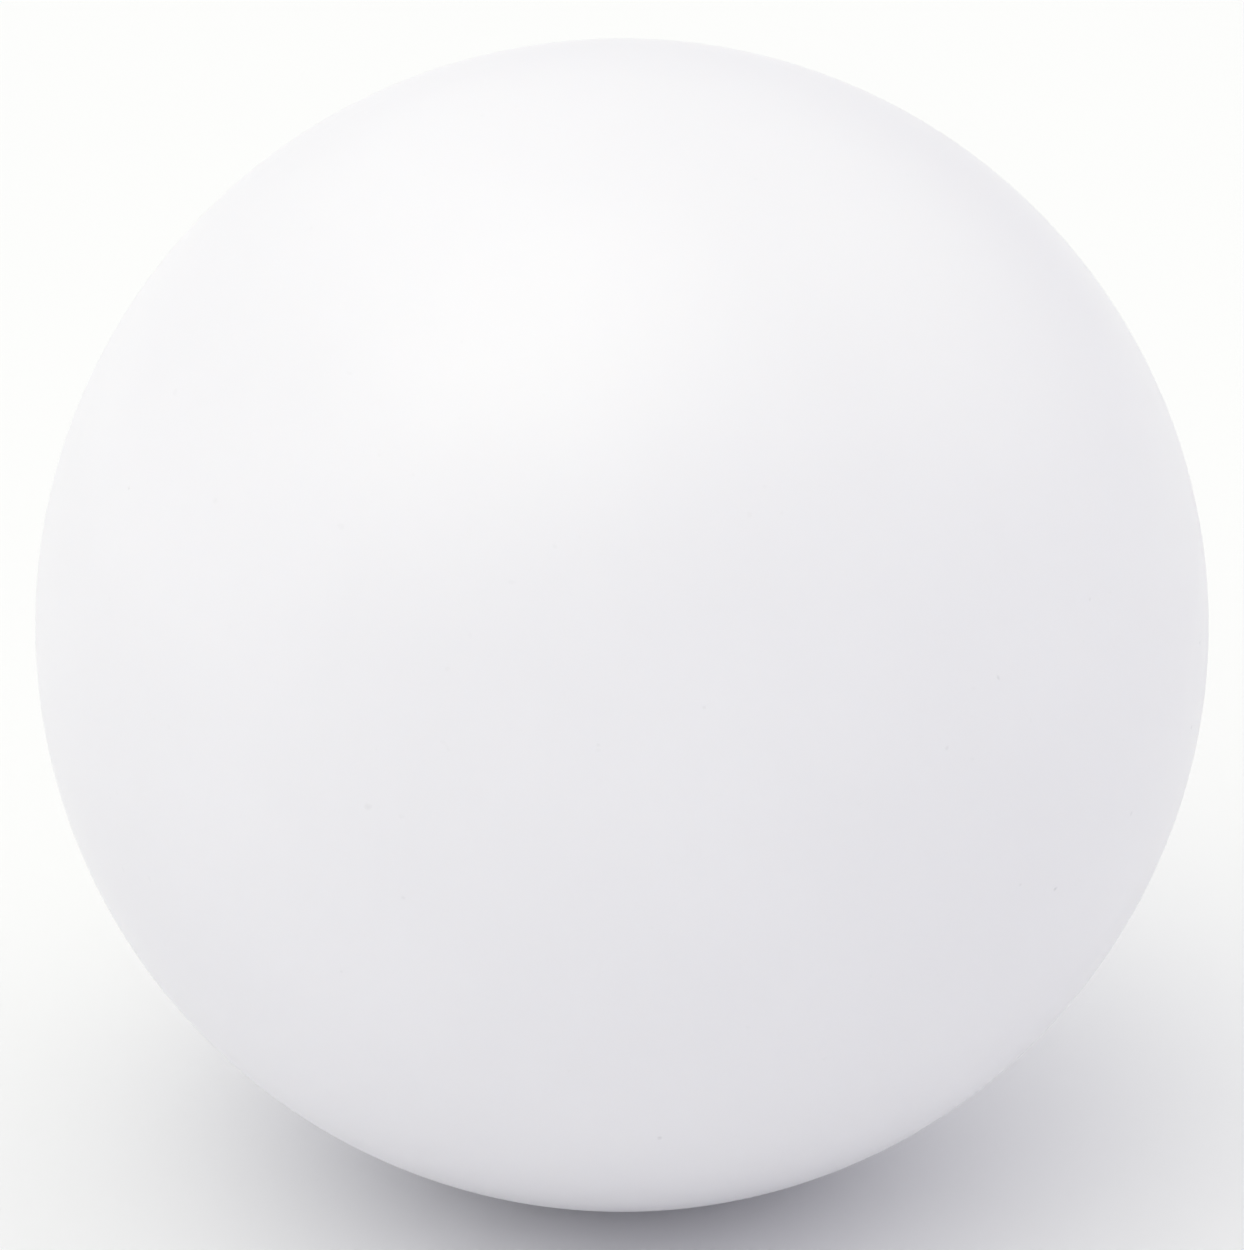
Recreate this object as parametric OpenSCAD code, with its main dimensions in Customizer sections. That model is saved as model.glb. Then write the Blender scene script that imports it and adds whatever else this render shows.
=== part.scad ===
// A plain cue ball: one solid casting of the same resin all the way through.
// Millimetres, +Z up. The origin is the centre of the ball.

/* [Ball] */
// Diameter. 57.15 is a pool ball, 47.6 a small pub-table cue ball and 61.5 a carom ball
ball_d = 57.15; // [47.6:0.05:61.5]

/* [Hidden] */

// Sides of the circles that the preview draws the ball with. Above 12 the solid is a true sphere
ball_sides = 180;

// White with a trace of blue
resin_white = [0.80, 0.79, 0.83];

// The whole ball, centred on the origin. It rests on any one point of its surface
module ball() {
    color(resin_white)
        sphere(d = ball_d, $fn = ball_sides);
}

ball();
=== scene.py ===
import math
import random

import bmesh
import bpy
from mathutils import Matrix, Vector, kdtree, noise


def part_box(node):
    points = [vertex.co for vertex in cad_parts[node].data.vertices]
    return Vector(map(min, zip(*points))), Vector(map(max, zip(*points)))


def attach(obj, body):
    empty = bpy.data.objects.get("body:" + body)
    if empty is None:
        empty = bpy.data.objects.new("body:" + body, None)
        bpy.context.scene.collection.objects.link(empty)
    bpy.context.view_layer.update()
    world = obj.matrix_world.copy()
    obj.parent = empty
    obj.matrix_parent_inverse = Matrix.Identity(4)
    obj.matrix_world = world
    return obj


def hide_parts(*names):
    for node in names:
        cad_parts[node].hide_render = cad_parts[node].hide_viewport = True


# A plain white cue ball on a pale floor. Metres, +Z up, in the CAD model's own frame.
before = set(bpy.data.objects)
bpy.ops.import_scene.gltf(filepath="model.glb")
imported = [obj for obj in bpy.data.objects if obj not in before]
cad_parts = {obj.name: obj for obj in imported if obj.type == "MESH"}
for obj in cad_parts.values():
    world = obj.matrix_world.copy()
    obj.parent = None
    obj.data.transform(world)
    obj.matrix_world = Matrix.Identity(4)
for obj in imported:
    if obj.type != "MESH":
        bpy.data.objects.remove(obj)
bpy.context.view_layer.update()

MM = 0.001
SEED = 15

# The ball, from the CAD node that it stands for. The frame's origin is its centre
BALL_LOW, BALL_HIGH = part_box("ball")
RADIUS = (BALL_HIGH.z - BALL_LOW.z) / 2
CENTRE = Vector((0, 0, 0))

# Mesh: quads along each side of each of the six patches, and the edge length inside a pit
PATCH_QUADS = 64
PIT_EDGE = 0.05 * MM

# Shape of a pit: the share of its size that its outline strays from an oval, how fine that wobble is, how
# many half-lengths it can reach from its middle, and the power that gives the slope of its sides
STRAY, STRAY_FINENESS = 0.25, 1.5
PIT_REACH = 1.3
PIT_FALL = 1.5

# Small pits that play has left on the front. Longitude from the front and latitude in degrees, length and
# width in millimetres, the turn of the length from east in degrees, the depth in millimetres, and how much
# of the dirt's colour shows at the middle, from 0 to 1
FRONT_PITS = [
    (-57, 24, 0.20, 0.15, 20, 0.012, 0.15),
    (-43, 26, 0.40, 0.32, 0, 0.008, 0.05),
    (-22, 3, 0.44, 0.36, 10, 0.014, 0.08),
    (-19, -5, 0.24, 0.20, 0, 0.010, 0.08),
    (-26, -14, 0.22, 0.16, 30, 0.010, 0.08),
    (-2, 10, 0.20, 0.17, 0, 0.010, 0.08),
    (7, 13, 0.22, 0.18, 0, 0.012, 0.09),
    (35, 12, 0.30, 0.14, -60, 0.020, 0.15),
    (29, 7, 0.28, 0.20, 40, 0.014, 0.10),
    (43, -10, 0.28, 0.22, 20, 0.025, 0.21),
    (38, -8, 0.22, 0.18, 0, 0.010, 0.09),
    (54, -6, 0.32, 0.20, 60, 0.010, 0.11),
    (48, 16, 0.22, 0.18, 30, 0.010, 0.10),
    (4, -33, 0.38, 0.26, 75, 0.018, 0.14),
]
# Pits of the same kind over the rest of the ball, no nearer to the front than this angle. Their lengths and
# depths are in millimetres and their widths are shares of the length, each from the least to the most
SCATTERED_PITS = 20
FRONT_ANGLE = math.radians(60)
PIT_LENGTHS, PIT_WIDTHS = (0.14, 0.40), (0.5, 0.95)
PIT_DEPTHS, PIT_DIRTS = (0.008, 0.022), (0.05, 0.17)


# ---------------------------------------------------------------- pits

def direction(longitude, latitude):
    """Unit vector to a place on the ball. Longitude 0 faces the camera's side, -Y, and 90 is +X."""
    lon, lat = math.radians(longitude), math.radians(latitude)
    return Vector((math.sin(lon) * math.cos(lat), -math.cos(lon) * math.cos(lat), math.sin(lat)))


class Pit:
    """A shallow oval hollow in the surface, with a ragged outline."""

    def __init__(self, normal, length, width, turn, depth, dirt, seed):
        self.normal = normal.normalized()
        east = Vector((0, 0, 1)).cross(self.normal)
        east = east.normalized() if east.length > 1e-6 else Vector((1, 0, 0))
        self.along = Matrix.Rotation(turn, 3, self.normal) @ east
        self.across = self.normal.cross(self.along)
        self.half_length, self.half_width, self.depth = length / 2, width / 2, depth
        self.dirt, self.seed = dirt, seed

    def reach(self):
        return PIT_REACH * max(self.half_length, self.half_width)

    def share(self, point):
        """1 at the middle of the pit, falling smoothly to 0 at its edge and outside it."""
        offset = point - self.normal * point.length
        u, v = offset.dot(self.along) / self.half_length, offset.dot(self.across) / self.half_width
        outline = 1 + STRAY * noise.noise(Vector((STRAY_FINENESS * u, STRAY_FINENESS * v, self.seed)))
        return max(0.0, 1 - (u * u + v * v) / outline ** 2)


def all_pits():
    """The pits listed for the front, and others spread over the rest of the ball."""
    rng = random.Random(SEED)
    front = direction(0, 0)
    pits = []
    for lon, lat, length, width, turn, depth, dirt in FRONT_PITS:
        sizes = length * MM, width * MM, math.radians(turn), depth * MM
        pits.append(Pit(direction(lon, lat), *sizes, dirt, len(pits)))
    while len(pits) < len(FRONT_PITS) + SCATTERED_PITS:
        normal = Vector([rng.gauss(0, 1) for _ in range(3)]).normalized()
        if normal.angle(front) < FRONT_ANGLE:
            continue
        length = rng.uniform(*PIT_LENGTHS)
        width = length * rng.uniform(*PIT_WIDTHS)
        turn, depth, dirt = rng.uniform(0, math.pi), rng.uniform(*PIT_DEPTHS), rng.uniform(*PIT_DIRTS)
        pits.append(Pit(normal, length * MM, width * MM, turn, depth * MM, dirt, len(pits)))
    return pits


# ---------------------------------------------------------------- ball mesh

def even_sphere():
    """A sphere of six patches of evenly spaced quads, with no poles."""
    bm = bmesh.new()
    bmesh.ops.create_cube(bm, size=2)
    bmesh.ops.subdivide_edges(bm, edges=bm.edges[:], cuts=PATCH_QUADS - 1, use_grid_fill=True)
    for vert in bm.verts:
        vert.co = Vector([math.tan(math.pi / 4 * c) for c in vert.co]).normalized() * RADIUS
    return bm


def nearest_pit(pits):
    """A function from a point to the distance of the nearest pit's middle."""
    tree = kdtree.KDTree(len(pits))
    for index, pit in enumerate(pits):
        tree.insert(pit.normal * RADIUS, index)
    tree.balance()
    return lambda point: tree.find(point)[2]


def refine(bm, pits):
    """Halves the edges round the pits until they are fine enough to hold their shapes."""
    distance = nearest_pit(pits)
    reach = max(pit.reach() for pit in pits)
    spacing = RADIUS * math.pi / 2 / PATCH_QUADS
    while spacing > PIT_EDGE:
        near = {v for v in bm.verts if distance(v.co) < reach + 2 * spacing}
        edges = [e for e in bm.edges if e.calc_length() > 0.6 * spacing and not near.isdisjoint(e.verts)]
        bmesh.ops.subdivide_edges(bm, edges=edges, cuts=1, use_grid_fill=True)
        for vert in bm.verts:
            vert.co = vert.co.normalized() * RADIUS
        spacing /= 2


def make_ball():
    bm = even_sphere()
    pits = all_pits()
    refine(bm, pits)
    bmesh.ops.triangulate(bm, faces=[f for f in bm.faces if len(f.verts) > 4])
    dirt = bm.verts.layers.float.new("pit_dirt")
    distance = nearest_pit(pits)
    reach = max(pit.reach() for pit in pits)
    for vert in [v for v in bm.verts if distance(v.co) < reach]:
        for pit in pits:
            if (vert.co - pit.normal * RADIUS).length < pit.reach():
                share = pit.share(vert.co)
                vert[dirt] = max(vert[dirt], share * pit.dirt)
                vert.co -= pit.normal * pit.depth * share ** PIT_FALL
    for face in bm.faces:
        face.smooth = True
    mesh = bpy.data.meshes.new("cue_ball")
    bm.to_mesh(mesh)
    bm.free()
    ball = bpy.data.objects.new("cue_ball", mesh)
    bpy.context.scene.collection.objects.link(ball)
    return ball


# ---------------------------------------------------------------- materials

# Resin: the two whites that it clouds between, its specks and how much they show, and the dirt in its pits
RESIN_WHITES = (0.789, 0.781, 0.821), (0.801, 0.793, 0.833)
SPECK_GREY, SPECK_SHOW = (0.40, 0.40, 0.41), 0.045
DIRT_GREY = (0.20, 0.20, 0.22)
# Sizes of its clouds, smudges and specks
CLOUD_SIZE, SMUDGE_SIZE, SPECK_SIZE = 14 * MM, 9 * MM, 0.5 * MM
# Its scratches: the cell that holds one, and its width. Then the depth of their bump
LONG_SCRATCHES, SHORT_SCRATCHES = (9 * MM, 0.06 * MM), (4 * MM, 0.045 * MM)
SCRATCH_DEPTH = 0.0003 * MM
# Roughness where it is polished, smudged and dirty, and what a scratch adds
POLISHED, SMUDGED, DIRTY, SCRATCHED = 0.29, 0.37, 0.65, 0.06

# Floor: the two whites that it varies between, how far apart they lie, and its roughness
FLOOR_WHITES = (0.815, 0.815, 0.836), (0.825, 0.825, 0.846)
FLOOR_CLOUD, FLOOR_ROUGHNESS = 120 * MM, 0.9


def new_material(name):
    material = bpy.data.materials.new(name)
    material.use_nodes = True
    material.node_tree.nodes.clear()
    return material, material.node_tree


def add(tree, kind, inputs=None, **settings):
    """A node of that kind, with its settings, and its inputs set to a value or joined to a socket."""
    made = tree.nodes.new(kind)
    for key, value in settings.items():
        setattr(made, key, value)
    for key, value in (inputs or {}).items():
        if isinstance(value, bpy.types.NodeSocket):
            tree.links.new(value, made.inputs[key])
        else:
            made.inputs[key].default_value = value
    return made


def noise_map(tree, place, size, detail=2.0, roughness=0.5, distortion=0.0):
    """Noise from 0 to 1 whose features are about that size, in metres."""
    return add(tree, "ShaderNodeTexNoise", {
        "Vector": place, "Scale": 1 / size, "Detail": detail, "Roughness": roughness,
        "Distortion": distortion}).outputs["Fac"]


def remap(tree, value, low, high, to_low=0.0, to_high=1.0):
    """Value from low..high to to_low..to_high, held at the ends, with soft shoulders."""
    inputs = {"Value": value, "From Min": low, "From Max": high, "To Min": to_low, "To Max": to_high}
    return add(tree, "ShaderNodeMapRange", inputs, interpolation_type="SMOOTHSTEP").outputs["Result"]


def maths(tree, operation, a, b):
    return add(tree, "ShaderNodeMath", {0: a, 1: b}, operation=operation).outputs[0]


def vector_maths(tree, operation, a, b, output="Vector"):
    return add(tree, "ShaderNodeVectorMath", {0: a, 1: b}, operation=operation).outputs[output]


def hairlines(tree, place, cell, width):
    """Fine straight scratches in all directions, about one to each cell, which fade out at their ends.

    Each one lies where the surface meets an upright plane through its cell's centre, at a random turn."""
    cells = add(tree, "ShaderNodeTexVoronoi", {"Vector": place, "Scale": 1 / cell})
    offset = vector_maths(tree, "SUBTRACT", place, cells.outputs["Position"])
    chance = vector_maths(tree, "SUBTRACT", cells.outputs["Color"], (0.5, 0.5, 0.5))
    side = vector_maths(tree, "NORMALIZE", vector_maths(tree, "CROSS_PRODUCT", place, chance), (0, 0, 0))
    apart = maths(tree, "ABSOLUTE", vector_maths(tree, "DOT_PRODUCT", offset, side, "Value"), 0)
    line = remap(tree, apart, width / 2, 0)
    fade = remap(tree, cells.outputs["Distance"], 0.55, 0.25)
    return maths(tree, "MULTIPLY", line, fade)


def mix_colour(tree, factor, a, b):
    made = add(tree, "ShaderNodeMix", data_type="RGBA")
    tree.links.new(factor, made.inputs["Factor"])
    for key, value in (("A", a), ("B", b)):
        socket = next(s for s in made.inputs if s.name == key and s.type == "RGBA")
        if isinstance(value, bpy.types.NodeSocket):
            tree.links.new(value, socket)
        else:
            socket.default_value = (*value, 1)
    return next(s for s in made.outputs if s.type == "RGBA")


def resin_material():
    """Polished white resin, a little dulled by play.

    Its white is faintly cloudy, with tiny specks, and dirt in the pits. Smudges and scratches dull it."""
    material, tree = new_material("white_resin")
    place = add(tree, "ShaderNodeTexCoord").outputs["Object"]
    dirt = add(tree, "ShaderNodeAttribute", attribute_name="pit_dirt").outputs["Fac"]
    cloud = remap(tree, noise_map(tree, place, CLOUD_SIZE, detail=3.0), 0.3, 0.7)
    smudge = remap(tree, noise_map(tree, place, SMUDGE_SIZE, detail=4.0, distortion=0.6), 0.45, 0.75)
    specks = remap(tree, noise_map(tree, place, SPECK_SIZE, detail=0.0), 0.84, 0.90)
    long_lines = hairlines(tree, place, *LONG_SCRATCHES)
    short_lines = hairlines(tree, place, *SHORT_SCRATCHES)
    scratches = maths(tree, "MAXIMUM", long_lines, short_lines)

    white = mix_colour(tree, cloud, *RESIN_WHITES)
    marked = mix_colour(tree, maths(tree, "MULTIPLY", specks, SPECK_SHOW), white, SPECK_GREY)
    colour = mix_colour(tree, dirt, marked, DIRT_GREY)

    smudged = remap(tree, smudge, 0.0, 1.0, POLISHED, SMUDGED)
    scratched = maths(tree, "ADD", smudged, maths(tree, "MULTIPLY", scratches, SCRATCHED))
    rough = maths(tree, "MAXIMUM", scratched, remap(tree, dirt, 0.0, 0.1, POLISHED, DIRTY))
    groove = {"Strength": 0.5, "Distance": SCRATCH_DEPTH, "Height": scratches}
    bump = add(tree, "ShaderNodeBump", groove, invert=True)

    shader = add(tree, "ShaderNodeBsdfPrincipled", {
        "Base Color": colour, "Roughness": rough, "Normal": bump.outputs["Normal"], "IOR": 1.55,
        "Subsurface Weight": 0.12, "Subsurface Radius": (1.0, 0.9, 0.8), "Subsurface Scale": 0.6 * MM})
    output = add(tree, "ShaderNodeOutputMaterial")
    tree.links.new(shader.outputs["BSDF"], output.inputs["Surface"])
    return material


def floor_material():
    """Matt white board, with a trace of unevenness."""
    material, tree = new_material("floor_board")
    place = add(tree, "ShaderNodeTexCoord").outputs["Object"]
    cloud = noise_map(tree, place, FLOOR_CLOUD, detail=3.0)
    colour = mix_colour(tree, cloud, *FLOOR_WHITES)
    shader = add(tree, "ShaderNodeBsdfPrincipled", {"Base Color": colour, "Roughness": FLOOR_ROUGHNESS})
    output = add(tree, "ShaderNodeOutputMaterial")
    tree.links.new(shader.outputs["BSDF"], output.inputs["Surface"])
    return material


# ---------------------------------------------------------------- studio

FLOOR_RADIUS, FLOOR_SIDES = 3.0, 96

# Camera: its lens and sensor, the ball's share of the picture's width, how many degrees up it stands, and the
# nearest and furthest that it sees
LENS_MM, SENSOR_MM = 100.0, 36.0
BALL_SHARE = 0.939
CAMERA_ELEVATION = math.radians(20)
NEAREST, FURTHEST = 0.01, 20

# Light tent: the colour of its even wall, the colour added at the horizon so that the floor runs into the
# wall, and soft glows, each with the degrees round from the camera (positive to its right), the degrees up,
# the sharpness and the colour that it adds at its middle. A higher sharpness fades away faster
TENT_WALL = (0.680, 0.674, 0.736)
HORIZON, HORIZON_SHARPNESS = (0.305, 0.31, 0.25), 9
GLOWS = [
    (-40, 70, 8, (1.30, 1.32, 1.05)),
    (-40, 45, 8, (0.415, 0.425, 0.337)),
    (-110, 45, 2, (0.32, 0.33, 0.262)),
    (110, 45, 8, (0.66, 0.67, 0.535)),
]


def add_floor():
    mesh = bpy.data.meshes.new("floor")
    bm = bmesh.new()
    bmesh.ops.create_circle(bm, cap_ends=True, radius=FLOOR_RADIUS, segments=FLOOR_SIDES)
    bm.to_mesh(mesh)
    bm.free()
    mesh.materials.append(floor_material())
    floor = bpy.data.objects.new("floor", mesh)
    floor.location = (CENTRE.x, CENTRE.y, BALL_LOW.z)
    bpy.context.scene.collection.objects.link(floor)


def add_camera():
    """A long lens that looks down on the ball's centre, at the distance where the ball fills its share."""
    half_view = math.atan(BALL_SHARE * SENSOR_MM / 2 / LENS_MM)
    back = Vector((0, -math.cos(CAMERA_ELEVATION), math.sin(CAMERA_ELEVATION)))
    data = bpy.data.cameras.new("camera")
    data.lens, data.sensor_width = LENS_MM, SENSOR_MM
    data.clip_start, data.clip_end = NEAREST, FURTHEST
    camera = bpy.data.objects.new("camera", data)
    camera.location = CENTRE + back * (RADIUS / math.sin(half_view))
    camera.rotation_euler = (-back).to_track_quat("-Z", "Y").to_euler()
    bpy.context.scene.collection.objects.link(camera)
    bpy.context.scene.camera = camera


def faded(tree, colour, strength, sharpness):
    """The colour times a strength from 0 to 1 that is raised to the sharpness."""
    scale = maths(tree, "POWER", strength, sharpness)
    return add(tree, "ShaderNodeVectorMath", {0: colour, "Scale": scale}, operation="SCALE").outputs["Vector"]


def add_light_tent():
    """Soft light from all round: the wall, the pale horizon, and glows that fade out round their middles."""
    world = bpy.data.worlds.new("light_tent")
    world.use_nodes = True
    tree = world.node_tree
    sky = add(tree, "ShaderNodeTexCoord").outputs["Generated"]
    height = maths(tree, "ABSOLUTE", vector_maths(tree, "DOT_PRODUCT", sky, (0, 0, 1), "Value"), 0)
    level = maths(tree, "SUBTRACT", 1.0, height)
    light = vector_maths(tree, "ADD", faded(tree, HORIZON, level, HORIZON_SHARPNESS), TENT_WALL)
    for around, up, sharpness, colour in GLOWS:
        facing = vector_maths(tree, "DOT_PRODUCT", sky, direction(around, up), "Value")
        glow = faded(tree, colour, maths(tree, "MAXIMUM", facing, 0.0), sharpness)
        light = vector_maths(tree, "ADD", light, glow)
    tree.links.new(light, tree.nodes["Background"].inputs["Color"])
    bpy.context.scene.world = world


def main():
    ball = make_ball()
    ball.data.materials.append(resin_material())
    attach(ball, "root")
    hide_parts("ball")

    add_floor()
    add_camera()
    add_light_tent()
    bpy.context.scene.view_settings.view_transform = "Standard"


main()
